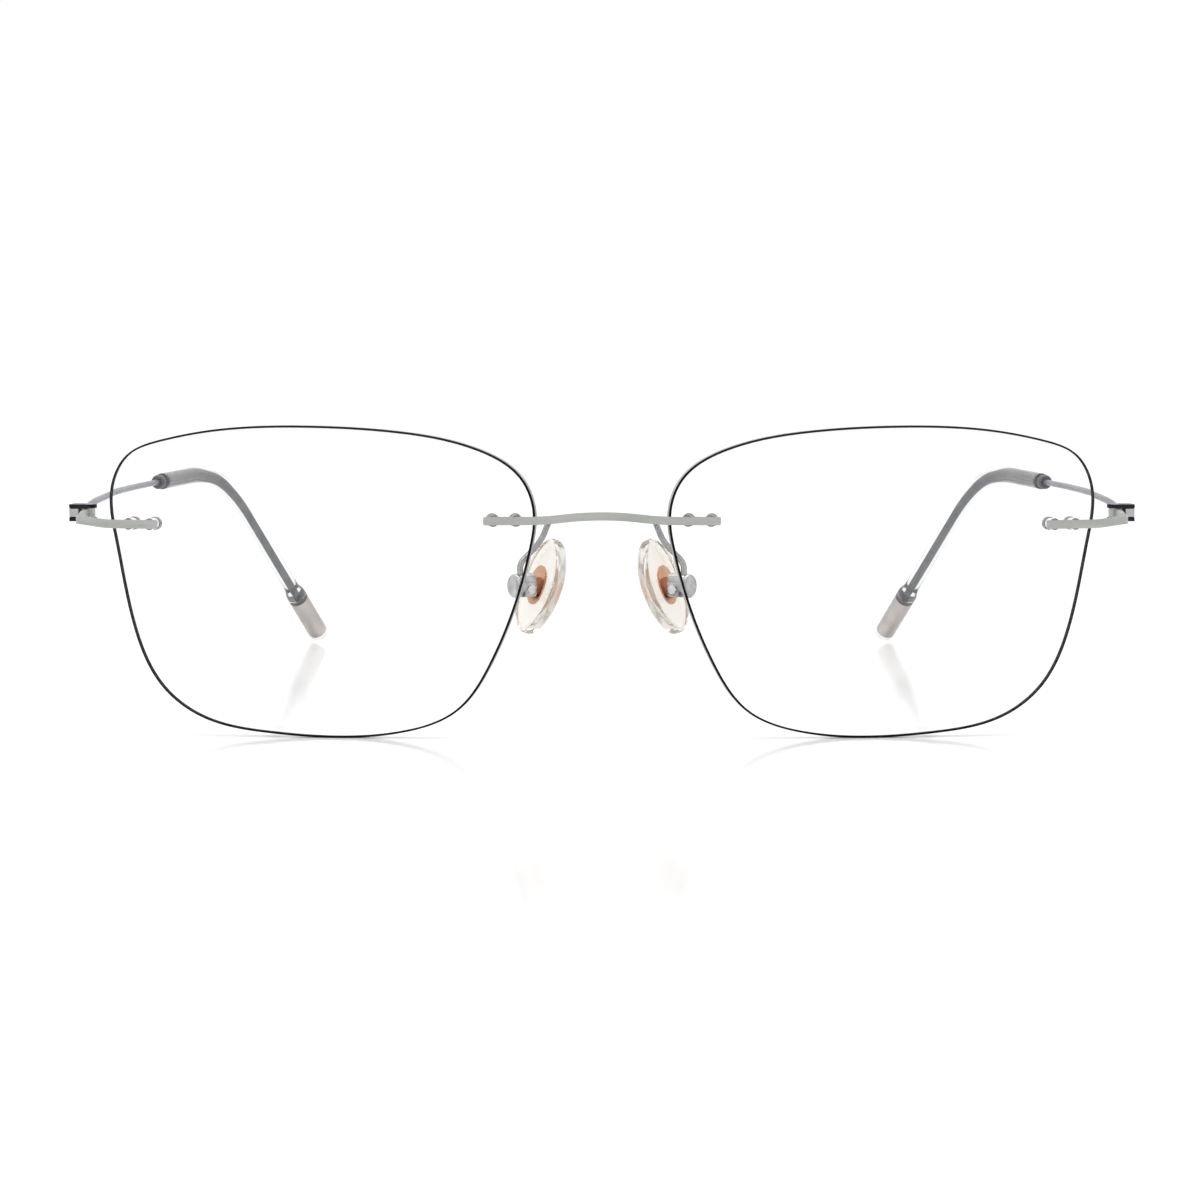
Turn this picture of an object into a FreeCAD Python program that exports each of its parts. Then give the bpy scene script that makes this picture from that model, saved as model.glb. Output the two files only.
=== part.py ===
import FreeCAD, Part
import math
import os

# Rimless eyeglasses, in millimetres. +Z is up, the lenses face -Y and the temples run back along +Y.
# The wearer's left is +X. Every piece is modelled on the left and mirrored to the right.
# While modelling, Y = 0 is the front of the lens at its middle and Z = 0 is the lowest lens point.
# At the end everything is moved so that the origin is the middle of the bottom of the whole object.

Vec = FreeCAD.Vector
up = Vec(0, 0, 1)

# lenses
lens_width = 54.9
lens_height = 39.75
lens_gap = 17.3             # between the two lenses where they come nearest
lens_thickness = 2.2
lens_front_radius = 132.0   # a base 4 curve
lens_wrap = 5.5             # degrees that each lens turns back towards the temple
lens_bevel = 0.2
# outline seen from the front, as shares of the width and height from the middle, from the nose upwards
lens_outline = [(-0.500, 0.218), (-0.471, 0.332), (-0.365, 0.429), (-0.184, 0.483), (0.026, 0.500),
                (0.235, 0.489), (0.377, 0.454), (0.463, 0.402), (0.500, 0.300), (0.488, 0.130), (0.447, -0.137),
                (0.378, -0.343), (0.283, -0.440), (0.126, -0.487), (-0.044, -0.500), (-0.202, -0.479),
                (-0.319, -0.413), (-0.397, -0.267), (-0.468, -0.021), (-0.491, 0.105)]

# drilled mounts: two holes at each end of a lens, with a plastic double bushing in each pair
hole_spacing = 2.9
hole_inset = 2.35           # from the lens edge to the nearer hole
pin_diameter = 0.9
bushing_wall = 0.25
bushing_rim_diameter = 1.7
bushing_rim_thickness = 0.5
bushing_web_height = 0.8
fit_clearance = 0.02        # on the radius, pin in bushing and bushing in lens
seat_gap = 0.1              # metal strip to lens, and bushing rim to lens

# bridge
bridge_height = 1.04
strip_thickness = 0.6
bridge_above_middle = 7.9   # of the lens, up to the middle of the bridge ends
bridge_arch = 0.56
bridge_arch_foot = 7.4      # from the middle, where the arch starts
bridge_arch_top = 2.4       # from the middle, where the arch levels out
bridge_bend = 2.1           # half the length of each bend
bridge_knee = 6.2           # from the middle, where the ends turn back to follow the lenses
bridge_overhang = 1.25      # past the far hole
bridge_end_round = 0.2

# end pieces
end_piece_height = 1.1
end_piece_above_middle = 7.27
end_piece_overhang = 1.2
end_piece_rise = 0.45       # from the lens to the corner
end_piece_rise_start = 4.0  # inside the side arm
end_piece_rise_end = 0.7    # inside the side arm
end_piece_bend = 1.0        # half the length of each gentle bend
end_piece_corner_reach = 1.75

# hinges
hinge_pin_x = 67.45
hinge_pin_y = 14.9
hinge_middle_z = 28.13
hinge_half_width = 69.9     # outer face of the hinge
knuckle_radius = 0.8
knuckle_side_gap = 0.06     # knuckle to each plate
arm_offset = 0.15           # the side arm stands outside the pin axis by this
hinge_screw_diameter = 0.7
hinge_screw_head_diameter = 1.25
hinge_screw_head_height = 0.2
plate_round_radius = 1.02
top_plate_thickness = 0.5
bottom_plate_thickness = 0.5
plate_back = 2.6            # behind the pin axis
plate_back_start = 0.9      # outside the pin axis, where the plate reaches its full depth
fork_web_thickness = 0.35
fork_web_gap = 0.07         # to the knuckle
fork_web_front = 0.9        # in front of the pin axis
running_clearance = 0.03    # on the radius, where a pin turns

# temples: middle line of the wire behind the block, by hand, the last point is the middle of the tip dome
wire_diameter = 0.9
core_diameter = 0.76        # the wire is drawn thinner inside the sleeve
temple_route = [(69.25, 21.5, 28.25), (69.4, 29.0, 28.95), (69.85, 47.0, 29.4), (69.7, 63.0, 29.55),
                (68.45, 79.0, 29.75), (65.3, 97.0, 30.3), (62.7, 104.2, 29.3), (60.1, 110.3, 25.3),
                (49.75, 132.5, 1.68)]
collar_y = 79.0             # the collar is the point of the route that lies here
collar_diameter = 2.2
collar_length = 1.5
collar_cup_depth = 0.5
sleeve_diameter = 2.5
tip_diameter = 3.36
tip_length = 11.2           # from the front of the metal insert to the end of the dome
tip_flare = 3.0
insert_diameter = 2.72
insert_length = 9.6
wire_in_insert = 1.5

# nose pads: the cup axis points at the nose and back, and passes through the pad's middle
pad_middle = (8.5, 7.1, 19.2)   # on the outer face of the pad
pad_splay = 36.0            # degrees between the pad's face and the fore and aft plane
pad_lean = 18.0             # degrees that the top leans towards the nose
pad_height = 12.7
pad_width = 7.8
pad_thickness = 1.8
pad_edge_round = 0.6
pad_plate_height = 5.2
pad_plate_width = 3.4
pad_plate_thickness = 0.3
pad_tab_thickness = 1.0
pad_tab_height = 2.0
pad_tab_end_gap = 0.35      # from the tab's end to the bottom of the cup
# outline seen along the pad's face, as shares of its width and height, from the front edge upwards
pad_outline = [(-0.50, 0.02), (-0.40, 0.31), (-0.06, 0.50), (0.30, 0.36), (0.47, 0.00), (0.46, -0.28),
               (0.10, -0.50), (-0.32, -0.32)]
cup_diameter = 3.1
cup_length = 2.7
cup_end_thickness = 0.6
cup_gap = 0.95              # from the cup's mouth to the middle of the pad, which leans and rocks
cup_slot_side_gap = 0.1     # tab to the cup, along the screw
cup_slot_rock_gap = 0.25    # tab to the cup, across the screw
box_width = 2.9             # the square part at the cup's mouth
box_length = 1.7
pad_screw_diameter = 0.7
pad_screw_drop = 0.45       # below the cup's middle
pad_screw_setback = 0.85     # from the cup's mouth
pad_screw_head_diameter = 1.15
pad_screw_head_height = 0.3
screw_slot_width = 0.2
screw_slot_depth = 0.14
pad_arm_diameter = 0.8
pad_arm_inset = 2.1         # from the lens edge, towards the nose
pad_arm_back = 2.6          # how far the arm first runs straight back
pad_arm_knee = (7.9, 5.4, 24.7)


def lens_place():
    """Lens frame: X to the temple, Y back, Z up, from the lens front at its middle."""
    middle_x = lens_gap / 2 + lens_width / 2
    return FreeCAD.Placement(Vec(middle_x, 0, lens_height / 2), FreeCAD.Rotation(up, lens_wrap))


def outline_curve():
    curve = Part.BSplineCurve()
    points = [Vec(x * lens_width, 0, z * lens_height) for x, z in lens_outline]
    curve.interpolate(points, PeriodicFlag=True)
    return curve


def outline_face():
    return Part.Face(Part.Wire([outline_curve().toShape()]))


def outline_crossings(z):
    """Smallest and largest X of the outline at height z in the lens frame."""
    line = Part.LineSegment(Vec(-lens_width, 0, z), Vec(lens_width, 0, z)).toShape()
    inside = outline_face().common(line).BoundBox
    return inside.XMin, inside.XMax


def drilled_place(x, z):
    """Mount frame on the lens front at (x, z): X along the surface to the temple, Y along the holes."""
    ring_radius = math.sqrt(lens_front_radius ** 2 - z ** 2)
    depth = lens_front_radius - math.sqrt(lens_front_radius ** 2 - x ** 2 - z ** 2)
    slope = math.degrees(math.asin(x / ring_radius))
    turned = FreeCAD.Placement(Vec(x, depth, z), FreeCAD.Rotation(up, slope))
    return lens_place().multiply(turned)


def nose_mount():
    nose_edge = outline_crossings(bridge_above_middle)[0]
    return drilled_place(nose_edge + hole_inset + hole_spacing / 2, bridge_above_middle)


def temple_mount():
    temple_edge = outline_crossings(end_piece_above_middle)[1]
    return drilled_place(temple_edge - hole_inset - hole_spacing / 2, end_piece_above_middle)


def rod(diameter, start, direction, length):
    return Part.makeCylinder(diameter / 2, length, start, direction)


def pair_of_rods(diameter, start_y, end_y):
    """Two rods along Y at the two holes of a mount frame."""
    rods = [rod(diameter, Vec(side * hole_spacing / 2, start_y, 0), Vec(0, 1, 0), end_y - start_y)
            for side in (-1, 1)]
    return rods[0].fuse(rods[1])


def placed(shape, placement):
    moved = shape.copy()
    moved.Placement = placement.multiply(moved.Placement)
    return moved


def rounded_path(points, share=0.45):
    """Straight runs joined by tangent arcs, each as large as a share of its shorter run allows."""
    points = [Vec(*point) for point in points]
    edges = []
    start = points[0]
    for before, corner, after in zip(points, points[1:], points[2:]):
        back = (before - corner).normalize()
        ahead = (after - corner).normalize()
        half_angle = back.getAngle(ahead) / 2
        reach = share * min((before - corner).Length, (after - corner).Length)
        radius = reach * math.tan(half_angle)
        middle_out = reach / math.cos(half_angle) - radius
        middle = corner + (back + ahead).normalize() * middle_out
        arc_start = corner + back * reach
        arc_end = corner + ahead * reach
        edges.append(Part.LineSegment(start, arc_start).toShape())
        edges.append(Part.Arc(arc_start, middle, arc_end).toShape())
        start = arc_end
    edges.append(Part.LineSegment(start, points[-1]).toShape())
    return Part.Wire(edges)


def tube_along(path, diameter):
    """A round solid of constant diameter along a path."""
    first = path.Edges[0]
    start = first.valueAt(first.FirstParameter)
    direction = first.tangentAt(first.FirstParameter)
    circle = Part.Wire([Part.Circle(start, direction, diameter / 2).toShape()])
    return path.makePipeShell([circle], True, False)




def corner_turn(before, corner, after):
    """Signed angle, in radians, by which a flat polyline turns left at a corner."""
    into = corner - before
    out = after - corner
    return math.atan2(into.x * out.y - into.y * out.x, into.dot(out))


def band_side(points, reaches, offset):
    """One side of a flat band: the middle line moved left by offset, its corners rounded to match."""
    moved = []
    for index, point in enumerate(points):
        before = points[index - 1] if index > 0 else point * 2 - points[1]
        after = points[index + 1] if index < len(points) - 1 else point * 2 - points[-2]
        half_turn = corner_turn(before, point, after) / 2
        normal = up.cross((point - before).normalize() + (after - point).normalize()).normalize()
        moved.append(point + normal * (offset / math.cos(half_turn)))
    edges = []
    start = moved[0]
    for index, reach in enumerate(reaches, start=1):
        turn = corner_turn(*points[index - 1:index + 2])
        half = abs(turn) / 2
        radius = reach / math.tan(half) - offset * math.copysign(1, turn)
        corner = moved[index]
        back = (moved[index - 1] - corner).normalize()
        ahead = (moved[index + 1] - corner).normalize()
        arc_start = corner + back * (radius * math.tan(half))
        arc_end = corner + ahead * (radius * math.tan(half))
        middle = corner + (back + ahead).normalize() * (radius / math.cos(half) - radius)
        edges.append(Part.LineSegment(start, arc_start).toShape())
        edges.append(Part.Arc(arc_start, middle, arc_end).toShape())
        start = arc_end
    edges.append(Part.LineSegment(start, moved[-1]).toShape())
    return edges


def band(points, reaches, width, low, high):
    """A strip of constant width along a rounded polyline in XY, from low to high in Z."""
    points = [Vec(x, y, 0) for x, y in points]
    left = band_side(points, reaches, width / 2)
    right = band_side(points, reaches, -width / 2)
    corners = [[side[0].Vertexes[0].Point, side[-1].Vertexes[-1].Point] for side in (left, right)]
    caps = [Part.LineSegment(corners[0][end], corners[1][end]).toShape() for end in (0, 1)]
    outline = Part.Wire(Part.__sortEdges__(left + right + caps))
    solid = Part.Face(outline).extrude(Vec(0, 0, high - low))
    solid.translate(Vec(0, 0, low))
    return solid


def side_band(points, reaches, width, low, high, heading):
    """The same strip stood upright: its points are (distance along, height), heading turns it about Z."""
    solid = band(points, reaches, width, low, high)
    solid.rotate(Vec(0, 0, 0), Vec(1, 0, 0), 90)
    solid.rotate(Vec(0, 0, 0), up, heading)
    return solid


def one_solid(shape):
    """The single solid of a boolean result, with coplanar faces merged."""
    return shape.removeSplitter().Solids[0]


def short_upright_edges(shape, x, length):
    """Edges of one length whose middle lies within 0.2 of x."""
    return [edge for edge in shape.Edges
            if abs(edge.Length - length) < 0.02 and abs(abs(edge.CenterOfMass.x) - x) < 0.2]


def lens():
    reach = lens_width / 2
    block = outline_face().extrude(Vec(0, 2 * reach, 0))
    block.translate(Vec(0, -reach / 2, 0))
    middle = Vec(0, lens_front_radius, 0)
    front = Part.makeSphere(lens_front_radius, middle)
    back = Part.makeSphere(lens_front_radius - lens_thickness, middle)
    blank = block.common(front).cut(back)
    blank = max(blank.Solids, key=lambda solid: -solid.CenterOfMass.y)
    rims = [edge for edge in blank.Edges if edge.Length > reach * 2]
    blank = blank.makeChamfer(lens_bevel, rims)
    shape = placed(blank, lens_place())
    hole_diameter = pin_diameter + 2 * (bushing_wall + 2 * fit_clearance)
    for mount in (nose_mount(), temple_mount()):
        holes = pair_of_rods(hole_diameter, -lens_thickness, 3 * lens_thickness)
        shape = shape.cut(placed(holes, mount))
    return shape.Solids[0]


def bushing(mount):
    """Two sleeves through the lens, joined by a rim behind it."""
    sleeve_diameter = pin_diameter + 2 * (bushing_wall + fit_clearance)
    rim_start = lens_thickness + seat_gap
    rim_end = rim_start + bushing_rim_thickness
    web = Part.makeBox(hole_spacing, bushing_rim_thickness, bushing_web_height,
                       Vec(-hole_spacing / 2, rim_start, -bushing_web_height / 2))
    shape = pair_of_rods(sleeve_diameter, 0, rim_end)
    shape = shape.fuse(pair_of_rods(bushing_rim_diameter, rim_start, rim_end)).fuse(web)
    shape = shape.cut(pair_of_rods(pin_diameter + 2 * fit_clearance, -1, rim_end + 1))
    return placed(one_solid(shape), mount)


def mount_pins(mount):
    """The two pins behind a metal strip, flush with the back of the bushing rim."""
    pins = pair_of_rods(pin_diameter, -seat_gap - strip_thickness / 2,
                        lens_thickness + seat_gap + bushing_rim_thickness)
    return placed(pins, mount)


def strip_point(mount, x, behind=0.0):
    """A point of the middle plane of the strip in front of a mount, as a world vector."""
    return mount.multVec(Vec(x, -seat_gap - strip_thickness / 2 + behind, 0))


def bridge():
    mount = nose_mount()
    end = strip_point(mount, hole_spacing / 2 + bridge_overhang)
    along = mount.Rotation.multVec(Vec(1, 0, 0))
    knee = end - along * ((end.x - bridge_knee) / along.x)
    plan_points = [(end.x, end.y), (knee.x, knee.y), (-knee.x, knee.y), (-end.x, end.y)]
    low = mount.Base.z
    plan = band(plan_points, [bridge_bend, bridge_bend], strip_thickness, low - 5, low + 5)
    arch_points = [(end.x + 1, low), (bridge_arch_foot, low), (bridge_arch_top, low + bridge_arch),
                   (-bridge_arch_top, low + bridge_arch), (-bridge_arch_foot, low), (-end.x - 1, low)]
    arch = side_band(arch_points, [bridge_bend] * 4, bridge_height, -5, 5, 0)
    bar = one_solid(plan.common(arch))
    bar = bar.makeFillet(bridge_end_round, short_upright_edges(bar, end.x, strip_thickness))
    pins = mount_pins(mount)
    return one_solid(bar.fuse(pins).fuse(mirrored(pins)))


def end_piece():
    mount = temple_mount()
    start = strip_point(mount, -hole_spacing / 2 - end_piece_overhang)
    along = mount.Rotation.multVec(Vec(1, 0, 0))
    arm_x = hinge_pin_x + arm_offset
    corner = start + along * ((arm_x - start.x) / along.x)
    low = mount.Base.z
    corner_z = low + end_piece_rise
    plan_points = [(start.x, start.y), (corner.x, corner.y), (arm_x, hinge_pin_y)]
    plan = band(plan_points, [end_piece_corner_reach], strip_thickness, low - 5, low + 5)
    front_points = [(start.x - 1, low), (arm_x - end_piece_rise_start, low),
                    (arm_x - end_piece_rise_end, corner_z), (arm_x + 3, corner_z)]
    front = side_band(front_points, [end_piece_bend] * 2, end_piece_height, -20, 20, 0)
    side_start = corner.y + end_piece_corner_reach
    side_points = [(side_start - 5, corner_z), (side_start + end_piece_bend, corner_z),
                   (hinge_pin_y - 2 * end_piece_bend, hinge_middle_z), (hinge_pin_y + 2, hinge_middle_z)]
    side = side_band(side_points, [end_piece_bend] * 2, end_piece_height, arm_x - 3, arm_x + 3, 90)
    before = Part.makeBox(60, 60, 60, Vec(start.x - 20, side_start - 60, 0))
    behind = Part.makeBox(60, 60, 60, Vec(start.x - 20, side_start, 0))
    strip = plan.common(front).common(before).fuse(plan.common(side).common(behind))
    knuckle = rod(2 * knuckle_radius, hinge_point(-end_piece_height / 2), up, end_piece_height)
    strip = one_solid(strip.fuse(knuckle).fuse(mount_pins(mount)))
    inner_edges = short_upright_edges(strip, start.x, strip_thickness)
    if inner_edges:
        strip = strip.makeFillet(bridge_end_round, inner_edges)
    bore = rod(hinge_screw_diameter + 2 * running_clearance, hinge_point(-5), up, 10)
    return one_solid(strip.cut(bore))


def hinge_point(height):
    """A point on the hinge axis, measured up from the middle of the hinge."""
    return Vec(hinge_pin_x, hinge_pin_y, hinge_middle_z + height)


def plate(low, thickness):
    """One plate of the fork: round about the pin, square at its outer and rear sides."""
    outer = hinge_half_width - hinge_pin_x
    corners = [(0, -plate_round_radius), (outer, -plate_round_radius), (outer, plate_back),
               (plate_back_start, plate_back), (0, plate_round_radius)]
    base = hinge_point(low)
    points = [base + Vec(x, y, 0) for x, y in corners + corners[:1]]
    slab = Part.Face(Part.makePolygon(points)).extrude(up * thickness)
    return slab.fuse(rod(2 * plate_round_radius, base, up, thickness))


def fork_half_gap():
    return end_piece_height / 2 + knuckle_side_gap


def web_inner_x():
    return knuckle_radius + fork_web_gap


def hinge_fork():
    half_gap = fork_half_gap()
    web_corner = hinge_point(-half_gap) + Vec(web_inner_x(), -fork_web_front, 0)
    web = Part.makeBox(fork_web_thickness, fork_web_front + plate_back, 2 * half_gap, web_corner)
    shape = plate(half_gap, top_plate_thickness).fuse(web)
    shape = shape.fuse(plate(-half_gap - bottom_plate_thickness, bottom_plate_thickness))
    shape = shape.cut(rod(hinge_screw_diameter + 2 * fit_clearance, hinge_point(-5), up, 10))
    seat = half_gap + top_plate_thickness - hinge_screw_head_height
    shape = shape.cut(rod(hinge_screw_head_diameter + 2 * fit_clearance, hinge_point(seat), up, 10))
    return one_solid(shape)


def slot(top, across):
    """A straight screwdriver slot to cut from a screw head whose top face is centred at top."""
    width = 4 * across
    corner = top - Vec(width / 2, screw_slot_width / 2, screw_slot_depth)
    return Part.makeBox(width, screw_slot_width, 2 * screw_slot_depth, corner)


def hinge_screw():
    half_gap = fork_half_gap()
    bottom = -half_gap - bottom_plate_thickness
    top = half_gap + top_plate_thickness
    shape = rod(hinge_screw_diameter, hinge_point(bottom), up, top - bottom)
    head = rod(hinge_screw_head_diameter, hinge_point(top - hinge_screw_head_height), up,
               hinge_screw_head_height)
    shape = shape.fuse(head).cut(slot(hinge_point(top), hinge_screw_head_diameter))
    return one_solid(shape)


def temple_points():
    """The temple's middle line, from the back of the block to the middle of the tip dome."""
    block_inner = hinge_pin_x + web_inner_x() + fork_web_thickness
    start = ((block_inner + hinge_half_width) / 2, hinge_pin_y + plate_back, hinge_middle_z)
    return [start] + temple_route


def tip_direction():
    """Unit vector along the last run, towards the free end."""
    return (Vec(*temple_route[-1]) - Vec(*temple_route[-2])).normalize()


def tip_point(distance):
    """A point on the tip's axis, measured back from the outer end of the dome."""
    return Vec(*temple_route[-1]) + tip_direction() * (tip_diameter / 2 - distance)


def collar_index():
    return [point[1] for point in temple_points()].index(collar_y)


def temple_wire():
    points = temple_points()
    wire_end = tip_point(tip_length - wire_in_insert)
    index = collar_index()
    outside = tube_along(rounded_path(points[:index + 1]), wire_diameter)
    core = tube_along(rounded_path(points[index - 1:-1] + [tuple(wire_end)]), core_diameter)
    shape = outside.fuse(core)
    block_inner = web_inner_x() + fork_web_thickness
    corner = hinge_point(-fork_half_gap()) + Vec(block_inner, -plate_round_radius, 0)
    block = Part.makeBox(hinge_half_width - hinge_pin_x - block_inner,
                         plate_round_radius + plate_back, 2 * fork_half_gap(), corner)
    return one_solid(shape.fuse(block))


def sleeve_points():
    """The temple's middle line from the collar backwards, shortened to stop where the tip flares."""
    points = [Vec(*point) for point in temple_points()]
    index = collar_index()
    first = points[index] + (points[index + 1] - points[index]).normalize() * (collar_length / 2)
    return [tuple(first)] + temple_points()[index + 1:-1] + [tuple(tip_point(tip_length + tip_flare))]


def tip_sleeve():
    """Clear tube over the wire that flares into a capsule with a round end, hollow for the insert."""
    last = Vec(*sleeve_points()[-1])
    outer = tube_along(rounded_path(sleeve_points()), sleeve_diameter)
    neck = sleeve_diameter / 2
    body = tip_diameter / 2
    whole = tip_length + tip_flare
    flare_end = tip_flare
    flare = Part.BezierCurve()
    flare.setPoles([Vec(neck, 0, 0), Vec(neck, 0, flare_end / 2), Vec(body, 0, flare_end / 2),
                    Vec(body, 0, flare_end)])
    dome_start = whole - body
    dome_middle = Vec(body * math.sqrt(0.5), 0, dome_start + body * math.sqrt(0.5))
    edges = [Part.LineSegment(Vec(0, 0, 0), Vec(neck, 0, 0)).toShape(), flare.toShape(),
             Part.LineSegment(Vec(body, 0, flare_end), Vec(body, 0, dome_start)).toShape(),
             Part.Arc(Vec(body, 0, dome_start), dome_middle, Vec(0, 0, whole)).toShape(),
             Part.LineSegment(Vec(0, 0, whole), Vec(0, 0, 0)).toShape()]
    capsule = Part.Face(Part.Wire(edges)).revolve(Vec(0, 0, 0), up, 360)
    capsule.Placement = FreeCAD.Placement(last, FreeCAD.Rotation(up, tip_direction()))
    bore_points = [tuple(point) for point in temple_points()[collar_index() - 1:-1]]
    bore = tube_along(rounded_path(bore_points + [tuple(tip_point(tip_length / 2))]),
                      core_diameter + 2 * fit_clearance)
    hollow = rod(insert_diameter + 2 * fit_clearance, tip_point(tip_length), tip_direction(), insert_length)
    return one_solid(outer.fuse(capsule).cut(bore).cut(hollow))


def tip_insert():
    """Metal weight inside the capsule; the wire ends in its blind hole."""
    start = tip_point(tip_length)
    shape = rod(insert_diameter, start, tip_direction(), insert_length)
    hole = rod(core_diameter + 2 * fit_clearance, start, tip_direction(), wire_in_insert)
    return shape.cut(hole)


def tip_collar():
    """Bead on the wire with a shallow cup in front, which closes the sleeve."""
    points = [Vec(*point) for point in temple_points()]
    index = collar_index()
    ahead = (points[index + 1] - points[index]).normalize()
    front = points[index] - ahead * (collar_length / 2)
    bead = rod(collar_diameter, front, ahead, collar_length)
    bead = bead.makeFillet(collar_length * 0.3, bead.Edges[0:1] + bead.Edges[2:3])
    for bore_points in (temple_points()[:index + 1], temple_points()[index - 1:-1]):
        bead = bead.cut(tube_along(rounded_path(bore_points), wire_diameter + 2 * fit_clearance))
    cup = rod(collar_diameter * 0.72, front, ahead, collar_cup_depth)
    return one_solid(bead.cut(cup))


def cup_place():
    """Cup frame: Y level along the cup towards the nose and back, Z up, from the pad's outer face."""
    return FreeCAD.Placement(Vec(*pad_middle), FreeCAD.Rotation(up, 90 - pad_splay))


def pad_place():
    """Pad frame: the cup frame with its top leant towards the nose."""
    return cup_place().multiply(FreeCAD.Placement(Vec(0, 0, 0), FreeCAD.Rotation(Vec(1, 0, 0), -pad_lean)))


def pad_tab_length():
    return cup_gap + cup_length - cup_end_thickness - pad_tab_end_gap


def pad_screw_point(x):
    """A point on the pad screw's axis in the cup frame."""
    return Vec(x, -cup_gap - pad_screw_setback, -pad_screw_drop)


def pad_plate_blank(extra):
    """The oval plate in the pad frame, grown by extra all round its edge."""
    oval = Part.Ellipse(Vec(0, 0, 0), pad_plate_height / 2 + extra, pad_plate_width / 2 + extra)
    face = Part.Face(Part.Wire([oval.toShape()]))
    face.rotate(Vec(0, 0, 0), Vec(0, 0, 1), 90)
    face.rotate(Vec(0, 0, 0), Vec(1, 0, 0), 90)
    return face.extrude(Vec(0, pad_plate_thickness, 0))


def nose_pad():
    curve = Part.BSplineCurve()
    curve.interpolate([Vec(x * pad_width, 0, z * pad_height) for x, z in pad_outline], PeriodicFlag=True)
    face = Part.Face(Part.Wire([curve.toShape()]))
    body = face.extrude(Vec(0, pad_thickness, 0))
    rims = [edge for edge in body.Edges if edge.Length > pad_height]
    body = body.makeFillet(pad_edge_round, rims)
    return placed(one_solid(body.cut(pad_plate_blank(fit_clearance))), pad_place())


def pad_insert():
    """Oval plate set in the pad, with the tab that the pad screw passes through."""
    length = pad_tab_length()
    tab = Part.makeBox(pad_tab_thickness, length + 2 * pad_plate_thickness, pad_tab_height,
                       Vec(-pad_tab_thickness / 2, -length, -pad_tab_height / 2))
    hole = rod(pad_screw_diameter + 2 * running_clearance, pad_screw_point(-5), Vec(1, 0, 0), 10)
    lean = FreeCAD.Placement(Vec(0, 0, 0), FreeCAD.Rotation(Vec(1, 0, 0), -pad_lean))
    oval = placed(pad_plate_blank(0), lean)
    beyond = placed(Part.makeBox(9, 9, 9, Vec(-4.5, pad_plate_thickness, -4.5)), lean)
    return placed(one_solid(oval.fuse(tab).cut(hole).cut(beyond)), cup_place())


def pad_cup():
    """Round cup with a square mouth, closed at its outer end; the pad's tab rocks inside it."""
    mouth = -cup_gap
    drum = rod(cup_diameter, Vec(0, mouth - cup_length, 0), Vec(0, 1, 0), cup_length)
    box = Part.makeBox(box_width, box_length, box_width,
                       Vec(-box_width / 2, mouth - box_length, -box_width / 2))
    box = box.makeFillet(box_width * 0.12, [edge for edge in box.Edges if abs(edge.tangentAt(0).y) > 0.9])
    drum = drum.makeFillet(cup_diameter * 0.1, [edge for edge in drum.Edges
                                                if edge.CenterOfMass.y < mouth - cup_length + 0.1])
    width = pad_tab_thickness + 2 * cup_slot_side_gap
    height = pad_tab_height + 2 * cup_slot_rock_gap
    cavity = Part.makeBox(width, cup_length - cup_end_thickness + 1, height,
                          Vec(-width / 2, mouth - cup_length + cup_end_thickness, -height / 2))
    hole = rod(pad_screw_diameter + 2 * fit_clearance, pad_screw_point(-5), Vec(1, 0, 0), 10)
    head_seat = rod(pad_screw_head_diameter + 2 * fit_clearance, pad_screw_point(-box_width / 2 - 2),
                    Vec(1, 0, 0), 2)
    return placed(one_solid(drum.fuse(box).cut(cavity).cut(hole).cut(head_seat)), cup_place())


def pad_screw():
    """Cross screw of the pad; its head bears on the front face of the square mouth."""
    front = -box_width / 2
    shape = rod(pad_screw_diameter, pad_screw_point(front), Vec(1, 0, 0), box_width)
    head = rod(pad_screw_head_diameter, pad_screw_point(front - pad_screw_head_height), Vec(1, 0, 0),
               pad_screw_head_height)
    middle = pad_screw_point(front - pad_screw_head_height)
    cut = Part.makeBox(2 * screw_slot_depth, 4, screw_slot_width,
                       middle - Vec(screw_slot_depth, 2, screw_slot_width / 2))
    return placed(one_solid(shape.fuse(head).cut(cut)), cup_place())


def pad_arm():
    """Wire from the back of the bridge to the top of the cup."""
    mount = nose_mount()
    x = -hole_spacing / 2 - hole_inset - pad_arm_inset
    start = strip_point(mount, x, strip_thickness / 2)
    back = mount.Rotation.multVec(Vec(0, 1, 0))
    place = cup_place()
    seat = Vec(0, -cup_gap - cup_length + cup_diameter * 0.35, 0)
    end = place.multVec(seat + Vec(0, 0, cup_diameter / 2 - pad_arm_diameter / 2))
    above = place.multVec(seat + Vec(0, 0, cup_diameter / 2 + 1.4))
    points = [start, start + back * pad_arm_back, Vec(*pad_arm_knee), above, end]
    wire = tube_along(rounded_path([tuple(point) for point in points]), pad_arm_diameter)
    drum = rod(cup_diameter, Vec(0, -cup_gap - cup_length, 0), Vec(0, 1, 0), cup_length)
    return max(wire.cut(placed(drum, place)).Solids, key=lambda solid: solid.Volume)


def mirrored(shape):
    return shape.mirror(Vec(0, 0, 0), Vec(1, 0, 0))


def left_pieces():
    return {
        "lens": lens(),
        "bridge_bushing": bushing(nose_mount()),
        "end_bushing": bushing(temple_mount()),
        "end_piece": end_piece(),
        "hinge_fork": hinge_fork(),
        "hinge_screw": hinge_screw(),
        "temple_wire": temple_wire(),
        "tip_collar": tip_collar(),
        "tip_sleeve": tip_sleeve(),
        "tip_insert": tip_insert(),
        "pad_arm": pad_arm(),
        "pad_cup": pad_cup(),
        "pad_screw": pad_screw(),
        "pad_insert": pad_insert(),
        "nose_pad": nose_pad(),
    }


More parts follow.
